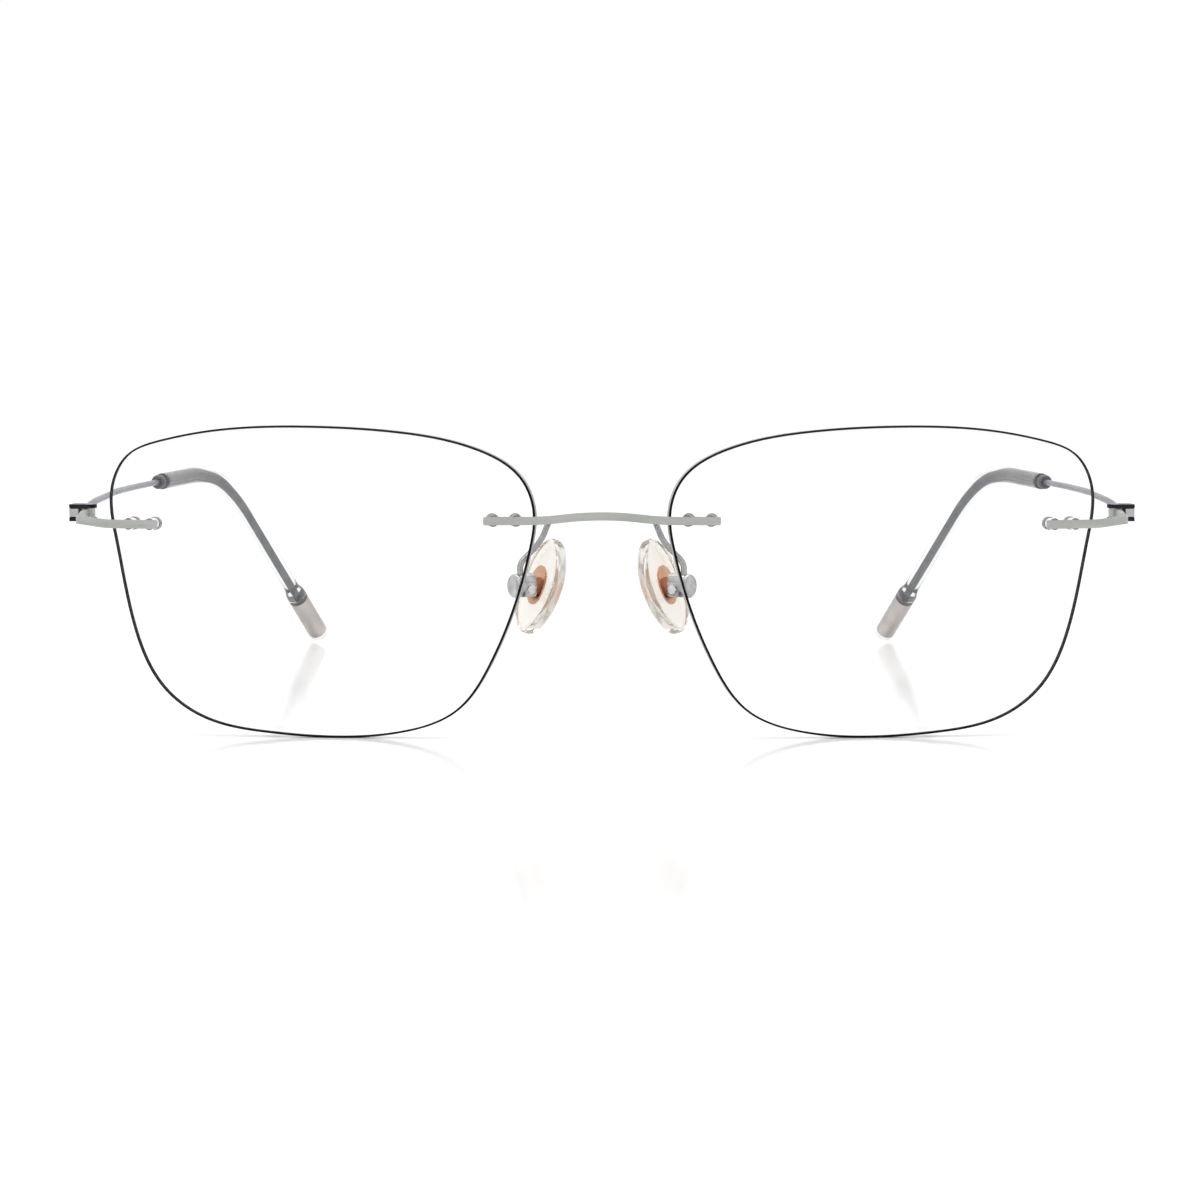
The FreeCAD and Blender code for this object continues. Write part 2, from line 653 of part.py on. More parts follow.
def all_pieces():
    pieces = {"bridge": bridge()}
    for name, shape in left_pieces().items():
        pieces["left_" + name] = shape
        pieces["right_" + name] = mirrored(shape)
    return pieces


def move_to_origin(pieces):
    """Put the origin at the middle of the bottom of the whole object and return the move."""
    box = Part.makeCompound(list(pieces.values())).optimalBoundingBox(False, False)
    move = Vec(-box.Center.x, -box.Center.y, -box.ZMin)
    for shape in pieces.values():
        shape.translate(move)
    return move


def main():
    os.makedirs("parts", exist_ok=True)
    pieces = all_pieces()
    move = move_to_origin(pieces)
    print("moved to origin by", [round(value, 4) for value in move])
    for name, shape in pieces.items():
        shape.exportStep("parts/" + name + ".step")
        box = shape.BoundBox
        print(name, "solids", len(shape.Solids), "volume", round(shape.Volume, 3),
              "valid", shape.isValid(), [round(v, 2) for v in (box.XMin, box.XMax, box.YMin, box.YMax)])


main()
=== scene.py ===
import math

import bpy
import numpy as np
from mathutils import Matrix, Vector


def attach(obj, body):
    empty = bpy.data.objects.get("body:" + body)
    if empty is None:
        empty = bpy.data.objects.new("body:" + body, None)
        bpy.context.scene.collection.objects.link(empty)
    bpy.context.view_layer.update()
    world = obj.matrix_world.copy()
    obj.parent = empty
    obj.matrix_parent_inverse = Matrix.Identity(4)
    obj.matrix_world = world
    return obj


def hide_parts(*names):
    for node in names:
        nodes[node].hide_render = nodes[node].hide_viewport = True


# Rimless eyeglasses. Sizes below are in millimetres, with Y = 0 at the front of the lens at its middle,
# and place() moves them to the frame, in metres.
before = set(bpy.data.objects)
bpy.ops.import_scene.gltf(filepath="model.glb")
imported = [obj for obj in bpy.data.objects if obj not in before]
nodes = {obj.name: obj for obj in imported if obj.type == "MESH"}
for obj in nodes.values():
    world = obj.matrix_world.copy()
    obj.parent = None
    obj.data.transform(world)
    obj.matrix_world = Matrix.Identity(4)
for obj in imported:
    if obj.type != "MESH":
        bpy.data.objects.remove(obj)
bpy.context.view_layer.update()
modelShift = np.array([0.0, -66.6769, 0.0006])


# Millimetres of the model to metres of the frame.
def place(points):
    return (np.asarray(points, float) + modelShift) / 1000


# Uneven colour and roughness on Object coordinates, with a fine grain as its height.
def makeFinishGroup():
    group = bpy.data.node_groups.new("unevenFinish", "ShaderNodeTree")
    face = group.interface
    inputs = [("Light", "NodeSocketColor", (1, 1, 1, 1)), ("Dark", "NodeSocketColor", (0, 0, 0, 1)),
              ("Scale", "NodeSocketFloat", 400.0), ("Stretch", "NodeSocketVector", (1, 1, 1)),
              ("Smoothest", "NodeSocketFloat", 0.2), ("Roughest", "NodeSocketFloat", 0.3)]
    for name, kind, default in inputs:
        face.new_socket(name, in_out="INPUT", socket_type=kind).default_value = default
    outputs = [("Colour", "NodeSocketColor"), ("Roughness", "NodeSocketFloat"), ("Height", "NodeSocketFloat")]
    for name, kind in outputs:
        face.new_socket(name, in_out="OUTPUT", socket_type=kind)
    new, link = group.nodes.new, group.links.new
    into, out = new("NodeGroupInput"), new("NodeGroupOutput")
    where = new("ShaderNodeTexCoord")
    scaled = new("ShaderNodeVectorMath")
    scaled.operation = "MULTIPLY"
    link(where.outputs["Object"], scaled.inputs[0])
    link(into.outputs["Stretch"], scaled.inputs[1])
    broad = new("ShaderNodeTexNoise")
    broad.inputs["Detail"].default_value = 3
    link(scaled.outputs[0], broad.inputs["Vector"])
    link(into.outputs["Scale"], broad.inputs["Scale"])
    finer = new("ShaderNodeMath")
    finer.operation = "MULTIPLY"
    finer.inputs[1].default_value = 9
    link(into.outputs["Scale"], finer.inputs[0])
    fine = new("ShaderNodeTexNoise")
    fine.inputs["Detail"].default_value = 2
    link(scaled.outputs[0], fine.inputs["Vector"])
    link(finer.outputs[0], fine.inputs["Scale"])
    spread = new("ShaderNodeMapRange")
    spread.inputs["From Min"].default_value = 0.3
    spread.inputs["From Max"].default_value = 0.7
    link(broad.outputs["Fac"], spread.inputs["Value"])
    # inputs 6 and 7 of a colour Mix are its two colours, and output 2 is the result
    mix = new("ShaderNodeMix")
    mix.data_type = "RGBA"
    link(spread.outputs[0], mix.inputs["Factor"])
    link(into.outputs["Dark"], mix.inputs[6])
    link(into.outputs["Light"], mix.inputs[7])
    rough = new("ShaderNodeMapRange")
    rough.inputs["From Min"].default_value = 0.3
    rough.inputs["From Max"].default_value = 0.7
    link(fine.outputs["Fac"], rough.inputs["Value"])
    link(into.outputs["Smoothest"], rough.inputs["To Min"])
    link(into.outputs["Roughest"], rough.inputs["To Max"])
    link(mix.outputs[2], out.inputs["Colour"])
    link(rough.outputs[0], out.inputs["Roughness"])
    link(fine.outputs["Fac"], out.inputs["Height"])
    return group


finishGroup = makeFinishGroup()


# A Principled material whose colour, roughness and bump come from the uneven finish group.
def newMaterial(name, light, dark, rough, scale=300.0, stretch=(1, 1, 1), metallic=0.0, bump=0.0,
                transmission=0.0, ior=1.5, letsLampsThrough=False):
    mat = bpy.data.materials.new(name)
    mat.use_nodes = True
    tree = mat.node_tree
    shader = tree.nodes["Principled BSDF"]
    output = tree.nodes["Material Output"]
    finish = tree.nodes.new("ShaderNodeGroup")
    finish.node_tree = finishGroup
    finish.inputs["Light"].default_value = (*light, 1)
    finish.inputs["Dark"].default_value = (*dark, 1)
    finish.inputs["Scale"].default_value = scale
    finish.inputs["Stretch"].default_value = stretch
    finish.inputs["Smoothest"].default_value, finish.inputs["Roughest"].default_value = rough
    tree.links.new(finish.outputs["Colour"], shader.inputs["Base Color"])
    tree.links.new(finish.outputs["Roughness"], shader.inputs["Roughness"])
    shader.inputs["Metallic"].default_value = metallic
    shader.inputs["Transmission Weight"].default_value = transmission
    shader.inputs["IOR"].default_value = ior
    if bump:
        relief = tree.nodes.new("ShaderNodeBump")
        relief.inputs["Strength"].default_value = bump
        relief.inputs["Distance"].default_value = 0.00002
        tree.links.new(finish.outputs["Height"], relief.inputs["Height"])
        tree.links.new(relief.outputs["Normal"], shader.inputs["Normal"])
    if letsLampsThrough:
        path = tree.nodes.new("ShaderNodeLightPath")
        clear = tree.nodes.new("ShaderNodeBsdfTransparent")
        mix = tree.nodes.new("ShaderNodeMixShader")
        tree.links.new(path.outputs["Is Shadow Ray"], mix.inputs[0])
        tree.links.new(shader.outputs[0], mix.inputs[1])
        tree.links.new(clear.outputs[0], mix.inputs[2])
        tree.links.new(mix.outputs[0], output.inputs["Surface"])
    return mat


# The ground edge of a lens: light grey from outside, its own colour, and painted shade where it is seen from
# inside the lens: black in place of the darkness that total internal reflection gives it.
def newEdgeAndShadeMaterial():
    mat = newMaterial("lensEdge", (0.60, 0.61, 0.60), (0.50, 0.51, 0.50), (0.45, 0.60), scale=500)
    tree = mat.node_tree
    shader = tree.nodes["Principled BSDF"]
    finish = next(node for node in tree.nodes if node.type == "GROUP")
    side = tree.nodes.new("ShaderNodeNewGeometry")
    mix = tree.nodes.new("ShaderNodeMix")
    mix.data_type = "RGBA"
    tree.links.new(side.outputs["Backfacing"], mix.inputs["Factor"])
    tree.links.new(finish.outputs["Colour"], mix.inputs[6])
    # painted shade: black on back faces, where the edge is seen from inside the glass
    mix.inputs[7].default_value = (0.004, 0.004, 0.005, 1)
    tree.links.new(mix.outputs[2], shader.inputs["Base Color"])
    return mat


lensGlass = newMaterial("lensGlass", (0.995, 0.998, 0.995), (0.985, 0.990, 0.986), (0.0, 0.004), scale=40,
                        transmission=1.0, ior=1.5, letsLampsThrough=True)
# painted shade: the front bevel is near black, standing in for the darkness that total internal reflection
# gives a polished lens edge
lensRim = newMaterial("lensRim", (0.006, 0.006, 0.007), (0.002, 0.002, 0.002), (0.45, 0.6))
lensEdge = newEdgeAndShadeMaterial()
# low specular keeps the painted shade of the bevel and edge black
for paintedShadeMaterial in (lensRim, lensEdge):
    paintedShadeMaterial.node_tree.nodes["Principled BSDF"].inputs["Specular IOR Level"].default_value = 0.08
clearPlastic = newMaterial("clearPlastic", (0.96, 0.965, 0.97), (0.91, 0.92, 0.925), (0.01, 0.03),
                           scale=200, transmission=1.0, ior=1.47, letsLampsThrough=True)
bushingPlastic = newMaterial("bushingPlastic", (0.50, 0.47, 0.44), (0.36, 0.34, 0.32), (0.05, 0.12),
                             scale=400, transmission=0.5, ior=1.45, letsLampsThrough=True)
stripMetal = newMaterial("stripMetal", (0.50, 0.51, 0.49), (0.41, 0.42, 0.40), (0.26, 0.38), scale=350,
                         stretch=(0.3, 1, 3), metallic=1.0, bump=0.15)
hingeDark = newMaterial("hingeDark", (0.035, 0.036, 0.042), (0.015, 0.015, 0.018), (0.25, 0.38), scale=500,
                        metallic=1.0, bump=0.1)
blockMetal = newMaterial("blockMetal", (0.55, 0.55, 0.54), (0.42, 0.42, 0.42), (0.25, 0.36), scale=500,
                         metallic=1.0, bump=0.1)
screwSteel = newMaterial("screwSteel", (0.78, 0.78, 0.78), (0.62, 0.62, 0.63), (0.15, 0.28),
                         scale=700, metallic=1.0)
wireMetal = newMaterial("wireMetal", (0.20, 0.215, 0.245), (0.13, 0.14, 0.165), (0.20, 0.32), scale=300,
                        stretch=(3, 0.3, 3), metallic=1.0, bump=0.1)
coreMetal = newMaterial("coreMetal", (0.16, 0.16, 0.17), (0.10, 0.10, 0.11), (0.25, 0.36), scale=300,
                        stretch=(3, 0.4, 3), metallic=1.0)
collarPlastic = newMaterial("collarPlastic", (0.060, 0.053, 0.085), (0.030, 0.026, 0.046), (0.25, 0.36),
                            scale=500)
insertMetal = newMaterial("insertMetal", (0.62, 0.57, 0.55), (0.50, 0.455, 0.44), (0.28, 0.40), scale=350,
                          metallic=1.0, bump=0.1)
armMetal = newMaterial("armMetal", (0.42, 0.42, 0.42), (0.30, 0.30, 0.31), (0.18, 0.28),
                       scale=400, metallic=1.0)
cupMetal = newMaterial("cupMetal", (0.64, 0.64, 0.64), (0.30, 0.30, 0.31), (0.12, 0.24),
                       scale=700, metallic=1.0)
plateCopper = newMaterial("plateCopper", (0.72, 0.44, 0.31), (0.58, 0.33, 0.22), (0.22, 0.34), scale=500,
                          metallic=1.0, bump=0.1)
padSoft = newMaterial("padSoft", (0.955, 0.930, 0.880), (0.915, 0.880, 0.815), (0.06, 0.14), scale=180,
                      transmission=0.85, ior=1.41, letsLampsThrough=True)
print("materials", len(bpy.data.materials))


def signedVolume(points, faces):
    total = 0.0
    for face in faces:
        a = points[face[0]]
        for i in range(1, len(face) - 1):
            total += np.dot(a, np.cross(points[face[i]], points[face[i + 1]]))
    return total


# One object from parts, each (points, faces, material index of each face).
def makePiece(name, parts, materials, body, node, slotName, sharpAngle=35.0):
    allPoints, allFaces, allIndices, offset = [], [], [], 0
    for points, faces, indices in parts:
        points = np.asarray(points, float)
        if signedVolume(points - points.mean(axis=0), faces) < 0:
            faces = [tuple(reversed(face)) for face in faces]
        allPoints.append(points)
        allFaces += [tuple(int(i) + offset for i in face) for face in faces]
        allIndices += list(np.broadcast_to(indices, len(faces)))
        offset += len(points)
    mesh = bpy.data.meshes.new(name)
    mesh.from_pydata(place(np.vstack(allPoints)).tolist(), [], allFaces)
    for material in materials:
        mesh.materials.append(material)
    mesh.polygons.foreach_set("material_index", np.array(allIndices, dtype=np.int32))
    mesh.polygons.foreach_set("use_smooth", np.ones(len(allFaces), dtype=bool))
    mesh.update()
    mesh.set_sharp_from_angle(angle=math.radians(sharpAngle))
    piece = bpy.data.objects.new(name, mesh)
    bpy.context.scene.collection.objects.link(piece)
    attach(piece, body)
    if node:
        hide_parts(node)
    return piece


# Quads between rings of equal size, each ring closed.
def ringFaces(ringCount, sides):
    faces = []
    for ring in range(ringCount - 1):
        a, b = ring * sides, (ring + 1) * sides
        for i in range(sides):
            j = (i + 1) % sides
            faces.append((a + i, a + j, b + j, b + i))
    return faces


# Fans that close the first and last ring to the two points that follow the rings.
def poleFaces(ringCount, sides):
    start, end, last = ringCount * sides, ringCount * sides + 1, (ringCount - 1) * sides
    faces = []
    for i in range(sides):
        j = (i + 1) % sides
        faces.append((start, j, i))
        faces.append((end, last + i, last + j))
    return faces


def unit(vector):
    return vector / np.linalg.norm(vector)


# Straight runs joined by arcs that touch both, each arc reaching a share of its shorter run.
def roundedPath(points, share=0.45, arcSteps=10):
    points = [np.array(point, float) for point in points]
    path = [points[0]]
    for before, corner, after in zip(points, points[1:], points[2:]):
        back, ahead = unit(before - corner), unit(after - corner)
        half = math.acos(np.clip(back @ ahead, -1, 1)) / 2
        reach = share * min(np.linalg.norm(before - corner), np.linalg.norm(after - corner))
        radius = reach * math.tan(half)
        middle = corner + unit(back + ahead) * (reach / math.cos(half))
        start, end = corner + back * reach - middle, corner + ahead * reach - middle
        turn = math.pi - 2 * half
        for step in range(arcSteps + 1):
            t = step / arcSteps
            spoke = (start * math.sin((1 - t) * turn) + end * math.sin(t * turn)) / math.sin(turn)
            path.append(middle + spoke)
    path.append(points[-1])
    return np.array(path)


# Distance, tangent and two normals carried along a path without twist.
def pathFrames(path):
    steps = np.diff(path, axis=0)
    lengths = np.linalg.norm(steps, axis=1)
    keep = np.r_[True, lengths > 1e-6]
    path = path[keep]
    steps = np.diff(path, axis=0)
    lengths = np.linalg.norm(steps, axis=1)
    distance = np.r_[0, np.cumsum(lengths)]
    runs = steps / lengths[:, None]
    tangents = np.vstack([runs[:1], runs[:-1] + runs[1:], runs[-1:]])
    tangents /= np.linalg.norm(tangents, axis=1)[:, None]
    normal = unit(np.cross(tangents[0], (0.0, 0.0, 1.0)))
    normals = []
    for tangent in tangents:
        normal = unit(normal - tangent * (normal @ tangent))
        normals.append(normal)
    return path, distance, tangents, np.array(normals)


# Round rings of radius r at distance s along a path. The first and last station close to a point.
def sweep(path, stations, sides=28, material=0):
    path, distance, tangents, normals = pathFrames(path)
    s, r = np.array(stations, float).T
    at = np.stack([np.interp(s, distance, path[:, k]) for k in range(3)], axis=1)
    t = np.stack([np.interp(s, distance, tangents[:, k]) for k in range(3)], axis=1)
    n = np.stack([np.interp(s, distance, normals[:, k]) for k in range(3)], axis=1)
    t /= np.linalg.norm(t, axis=1)[:, None]
    n -= t * np.sum(n * t, axis=1)[:, None]
    n /= np.linalg.norm(n, axis=1)[:, None]
    b = np.cross(t, n)
    # ring point = middle + r (cos(angle) normal + sin(angle) binormal)
    angle = np.linspace(0, 2 * math.pi, sides, endpoint=False)
    rings = (at[:, None] + r[:, None, None] * (np.cos(angle)[None, :, None] * n[:, None]
                                              + np.sin(angle)[None, :, None] * b[:, None]))
    points = np.vstack([rings.reshape(-1, 3), at[:1], at[-1:]])
    count = len(s)
    faces = ringFaces(count, sides)
    faces += poleFaces(count, sides)
    return points, faces, np.full(len(faces), material)


def mirroredPart(part):
    points, faces, indices = part
    flipped = np.array(points, float) * (-1, 1, 1)
    return flipped, faces, indices


def bothSides(name, parts, materials, body, node, slotName, **more):
    # the right side is the left one mirrored in X
    made = []
    for side in ("left", "right"):
        chosen = parts if side == "left" else [mirroredPart(part) for part in parts]
        made.append(makePiece(side + name[0].upper() + name[1:], chosen, materials, body.format(side),
                              node.format(side), slotName, **more))
    return made


# Closed curve through points: a periodic cubic with chord lengths as its parameter.
def periodicSpline(points, count):
    points = np.array(points, float)
    n = len(points)
    closed = np.vstack([points, points[:1]])
    h = np.linalg.norm(np.diff(closed, axis=0), axis=1)
    knots = np.r_[0, np.cumsum(h)]
    # second derivatives m solve
    # h[i-1] m[i-1] + 2 (h[i-1] + h[i]) m[i] + h[i] m[i+1] = 6 (slope[i] - slope[i-1])
    matrix = np.zeros((n, n))
    right = np.zeros((n, 2))
    slope = np.diff(closed, axis=0) / h[:, None]
    for i in range(n):
        matrix[i, i - 1] += h[i - 1]
        matrix[i, i] += 2 * (h[i - 1] + h[i])
        matrix[i, (i + 1) % n] += h[i]
        right[i] = 6 * (slope[i] - slope[i - 1])
    m = np.linalg.solve(matrix, right)
    m = np.vstack([m, m[:1]])
    u = np.linspace(0, knots[-1], count, endpoint=False)
    i = np.clip(np.searchsorted(knots, u, side="right") - 1, 0, n - 1)
    a, b = (knots[i + 1] - u)[:, None], (u - knots[i])[:, None]
    hi = h[i][:, None]
    return (m[i] * a ** 3 / (6 * hi) + m[i + 1] * b ** 3 / (6 * hi)
            + (closed[i] / hi - m[i] * hi / 6) * a + (closed[i + 1] / hi - m[i + 1] * hi / 6) * b)


# The closed outline moved inwards by a distance, along its own normals.
def insetOutline(outline, distance):
    along = np.roll(outline, -1, axis=0) - np.roll(outline, 1, axis=0)
    along /= np.linalg.norm(along, axis=1)[:, None]
    area = np.sum(outline[:, 0] * np.roll(outline[:, 1], -1) - np.roll(outline[:, 0], -1) * outline[:, 1])
    inwards = np.stack([-along[:, 1], along[:, 0]], axis=1) * np.sign(area)
    return outline + inwards * distance


# Closed surface through rings of equal size, with its first and last ring closed to their middles.
def poledRings(rings, materialOfBand):
    rings = np.array(rings)
    count, sides = rings.shape[:2]
    points = np.vstack([rings.reshape(-1, 3), rings[0].mean(axis=0), rings[-1].mean(axis=0)])
    faces = ringFaces(count, sides)
    indices = list(np.repeat(materialOfBand, sides))
    faces += poleFaces(count, sides)
    indices += [materialOfBand[0], materialOfBand[-1]] * sides
    return points, faces, np.array(indices)


# Lenses: front and rear spheres about one middle, a front bevel painted black as shade, and a ground edge
# whose inner side is painted black as shade.
lens = {"width": 54.9, "height": 39.75, "gap": 17.3, "thickness": 2.2, "radius": 132.0, "wrap": 5.5,
        "bevel": 0.28,
        "outline": [(-0.500, 0.218), (-0.471, 0.332), (-0.365, 0.429), (-0.184, 0.483), (0.026, 0.500),
                    (0.235, 0.489), (0.377, 0.454), (0.463, 0.402), (0.500, 0.300), (0.488, 0.130),
                    (0.447, -0.137), (0.378, -0.343), (0.283, -0.440), (0.126, -0.487), (-0.044, -0.500),
                    (-0.202, -0.479),
                    (-0.319, -0.413), (-0.397, -0.267), (-0.468, -0.021), (-0.491, 0.105)],
        "around": 260, "ringShares": np.linspace(0.04, 0.97, 22)}


def lensOutline(count):
    return periodicSpline([(x * lens["width"], z * lens["height"]) for x, z in lens["outline"]], count)


# From the lens frame: turned by the wrap, then moved to the middle of the lens.
def lensToModel(points):
    turn = math.radians(lens["wrap"])
    x, y, z = np.moveaxis(np.asarray(points, float), -1, 0)
    middle = lens["gap"] / 2 + lens["width"] / 2
    return np.stack([middle + x * math.cos(turn) - y * math.sin(turn),
                     x * math.sin(turn) + y * math.cos(turn), z + lens["height"] / 2], axis=-1)


# Front or rear sphere: depth = R - sqrt((R - behind)^2 - x^2 - z^2), both about one middle.
def lensDepth(flat, behind):
    return lens["radius"] - np.sqrt((lens["radius"] - behind) ** 2 - flat[:, 0] ** 2 - flat[:, 1] ** 2)


def lensRing(flat, depth):
    return np.stack([flat[:, 0], depth, flat[:, 1]], axis=1)


def lensPart():
    outline = lensOutline(lens["around"])
    inner = insetOutline(outline, lens["bevel"])
    rings, bands = [], []
    for share in lens["ringShares"]:
        rings.append(lensRing(inner * share, lensDepth(inner * share, 0)))
    rings.append(lensRing(inner, lensDepth(inner, 0)))
    bands += [0] * len(lens["ringShares"])
    rings.append(lensRing(outline, lensDepth(outline, 0) + lens["bevel"]))
    bands.append(1)
    rings.append(lensRing(outline, lensDepth(outline, lens["thickness"]) - lens["bevel"]))
    bands.append(2)
    rings.append(lensRing(inner, lensDepth(inner, lens["thickness"])))
    bands.append(2)
    for share in lens["ringShares"][::-1]:
        rings.append(lensRing(inner * share, lensDepth(inner * share, lens["thickness"])))
        bands.append(0)
    points, faces, indices = poledRings([lensToModel(ring) for ring in rings], bands)
    return points, faces, indices


holes = {"spacing": 2.9, "radius": 0.75, "inset": 2.35, "bridgeHeight": 7.9, "endHeight": 7.27, "sides": 28,
         "drillFront": 3.0, "drillBack": 6.0, "search": 4000, "nearness": 0.08}


# Smallest and largest X of the outline at height z.
def outlineEnds(z):
    outline = lensOutline(holes["search"])
    near = outline[np.abs(outline[:, 1] - z) < holes["nearness"], 0]
    return near.min(), near.max()


# Point on the lens front and inward direction of each hole, in the lens frame.
def holeAxes():
    axes = []
    for z, end in ((holes["bridgeHeight"], 0), (holes["endHeight"], 1)):
        edge = outlineEnds(z)[end]
        x = edge + (holes["inset"] + holes["spacing"] / 2) * (1 if end == 0 else -1)
        depth = lens["radius"] - math.sqrt(lens["radius"] ** 2 - x ** 2 - z ** 2)
        slope = math.asin(x / math.sqrt(lens["radius"] ** 2 - z ** 2))
        along = np.array([math.cos(slope), math.sin(slope), 0])
        inward = np.array([-math.sin(slope), math.cos(slope), 0])
        for side in (-1, 1):
            axes.append((np.array([x, depth, z]) + along * side * holes["spacing"] / 2, inward))
    return axes


# Four round holes, cut once, so that the finished mesh has no live modifier.
def drill(piece, mirror):
    angle = np.linspace(0, 2 * math.pi, holes["sides"], endpoint=False)
    allPoints, allFaces = [], []
    for middle, inward in holeAxes():
        across = np.cross(inward, (0, 0, 1.0))
        circle = np.cos(angle)[:, None] * across + np.sin(angle)[:, None] * np.array([0, 0, 1.0])
        rim = circle * holes["radius"]
        front = middle - inward * holes["drillFront"] + rim
        back = middle + inward * holes["drillBack"] + rim
        points = lensToModel(np.vstack([front, back])) * (mirror, 1, 1)
        base = sum(len(p) for p in allPoints)
        n = len(angle)
        faces = ringFaces(2, n) + [tuple(range(n - 1, -1, -1)), tuple(range(n, 2 * n))]
        if signedVolume(points - points.mean(axis=0), faces) < 0:
            faces = [tuple(reversed(face)) for face in faces]
        allPoints.append(points)
        allFaces += [tuple(i + base for i in face) for face in faces]
    mesh = bpy.data.meshes.new("drill")
    mesh.from_pydata(place(np.vstack(allPoints)).tolist(), [], allFaces)
    cutter = bpy.data.objects.new("drill", mesh)
    bpy.context.scene.collection.objects.link(cutter)
    cut = piece.modifiers.new("holes", "BOOLEAN")
    cut.operation, cut.object, cut.solver = "DIFFERENCE", cutter, "EXACT"
    bpy.context.view_layer.update()
    done = bpy.data.meshes.new_from_object(piece.evaluated_get(bpy.context.evaluated_depsgraph_get()))
    piece.modifiers.clear()
    done.name = piece.name
    piece.data = done
    done.polygons.foreach_set("use_smooth", np.ones(len(done.polygons), dtype=bool))
    done.set_sharp_from_angle(angle=math.radians(35))
    bpy.data.objects.remove(cutter)


for piece, mirror in zip(bothSides("lens", [lensPart()], [lensGlass, lensRim, lensEdge], "front", "{}_lens",
                                   "lens_clear"), (1, -1)):
    drill(piece, mirror)
print("lenses")


# Temples: radii of the wire, its thinner core, the sleeve and the capsule, along one route.
temple = {"start": (69.085, 17.5, 28.13),
          "route": [(69.25, 21.5, 28.25), (69.4, 29.0, 28.95), (69.85, 47.0, 29.4), (69.7, 63.0, 29.55),
                    (68.45, 79.0, 29.75), (65.3, 97.0, 30.3), (62.7, 104.2, 29.3), (60.1, 110.3, 25.3),
                    (49.75, 132.5, 1.68)],
          "collar": 5, "wire": 0.45, "core": 0.38, "sleeve": 1.25, "tip": 1.68, "tipLength": 11.2,
          "flare": 3.0, "insertRadius": 1.36, "insertLength": 9.6, "wireInInsert": 1.5, "collarHalf": 0.75,
          "overlap": 0.008,
          "wireStart": 0.4, "insertChamfer": 0.08, "ringLength": 0.9, "ringInner": 0.5, "sleeveSides": 40}
# The block behind the hinge, measured from the pin.
hinge = {"pin": (67.45, 14.9, 28.13), "outer": 69.9, "inner": 68.67, "halfHeight": 0.61, "front": 1.02,
         "back": 2.6, "soft": 0.1}

templePoints = [np.array(point) for point in [temple["start"]] + temple["route"]]
tipDirection = unit(templePoints[-1] - templePoints[-2])


def tipPoint(distance):
    return templePoints[-1] + tipDirection * (temple["tip"] - distance)


def plainTube(path, radius, material, sides=28):
    distance = pathFrames(path)[1]
    soft = radius * 0.18
    stations = [(0, radius - soft), (soft, radius)]
    stations += [(s, radius) for s in distance[1:-1] if soft < s < distance[-1] - soft]
    stations += [(distance[-1] - soft, radius), (distance[-1], radius - soft)]
    return sweep(path, stations, sides, material)


# A box with its edges cut back: eight corners, each as three points.
def softBox(low, high, soft, material):
    low, high = np.array(low, float), np.array(high, float)
    points, keys = [], {}
    for corner in range(8):
        at = [(high if corner >> k & 1 else low)[k] for k in range(3)]
        inward = [(-1 if corner >> k & 1 else 1) for k in range(3)]
        for face in range(3):
            point = np.array(at)
            for k in range(3):
                if k != face:
                    point[k] += inward[k] * soft
            keys[corner, face] = len(points)
            points.append(point)
    faces = []
    middle = (low + high) / 2
    def add(ids):
        ring = np.array([points[i] for i in ids])
        normal = np.cross(ring[1] - ring[0], ring[2] - ring[0])
        faces.append(tuple(ids) if normal @ (ring.mean(axis=0) - middle) > 0 else tuple(reversed(ids)))
    for axis in range(3):
        u, v = [k for k in range(3) if k != axis]
        for side in (0, 1):
            order = [(0, 0), (1, 0), (1, 1), (0, 1)]
            add([keys[side << axis | a << u | b << v, axis] for a, b in order])
        for a in (0, 1):
            for b in (0, 1):
                c0 = a << u | b << v
                c1 = c0 | 1 << axis
                add([keys[c0, u], keys[c1, u], keys[c1, v], keys[c0, v]])
    for corner in range(8):
        add([keys[corner, k] for k in range(3)])
    return np.array(points), faces, np.full(len(faces), material)


collar = temple["collar"]
wirePath = roundedPath(templePoints[:collar + 1])
wirePath[0] = wirePath[0] - unit(wirePath[1] - wirePath[0]) * temple["wireStart"]
coreEnd = tipPoint(temple["tipLength"] - temple["wireInInsert"])
corePath = roundedPath(templePoints[collar - 1:-1] + [coreEnd])
block = softBox((hinge["inner"], hinge["pin"][1] - hinge["front"], hinge["pin"][2] - hinge["halfHeight"]),
                (hinge["outer"], hinge["pin"][1] + hinge["back"], hinge["pin"][2] + hinge["halfHeight"]),
                hinge["soft"], 1)
tubes = [plainTube(wirePath, temple["wire"], 0), plainTube(corePath, temple["core"], 2)]
bothSides("templeWire", tubes + [block], [wireMetal, blockMetal, coreMetal], "{}_temple", "{}_temple_wire",
          "wire_metal")

# sleeve: from the deepest point of the hollow forwards along the bore, out to the front face,
# and back along the outside to the dome
behindCollar = unit(templePoints[collar + 1] - templePoints[collar]) * temple["collarHalf"]
sleeveStart = templePoints[collar] + behindCollar
sleevePath = roundedPath(templePoints[collar - 1:-1] + [tipPoint(0)])
sleeveDistance = pathFrames(sleevePath)[1]
whole = sleeveDistance[-1]
front = np.interp(sleeveStart[1], sleevePath[:, 1], sleeveDistance)
bore = temple["core"] - temple["overlap"]
hollow = temple["insertRadius"] - temple["overlap"]
hollowFront = whole - temple["tipLength"] + temple["overlap"]
hollowBack = hollowFront + temple["insertLength"] - 2 * temple["overlap"]
flareStart = whole - temple["tipLength"] - temple["flare"]
bends = [s for s in sleeveDistance[1:-1] if front + 0.3 < s < flareStart - 0.2]
stations = [(hollowBack, hollow), (hollowFront, hollow), (hollowFront, bore)]
stations += [(s, bore) for s in bends[::-1]]
stations += [(front, bore), (front, temple["sleeve"] - 0.2), (front + 0.06, temple["sleeve"] - 0.06),
             (front + 0.2, temple["sleeve"])]
stations += [(s, temple["sleeve"]) for s in bends]
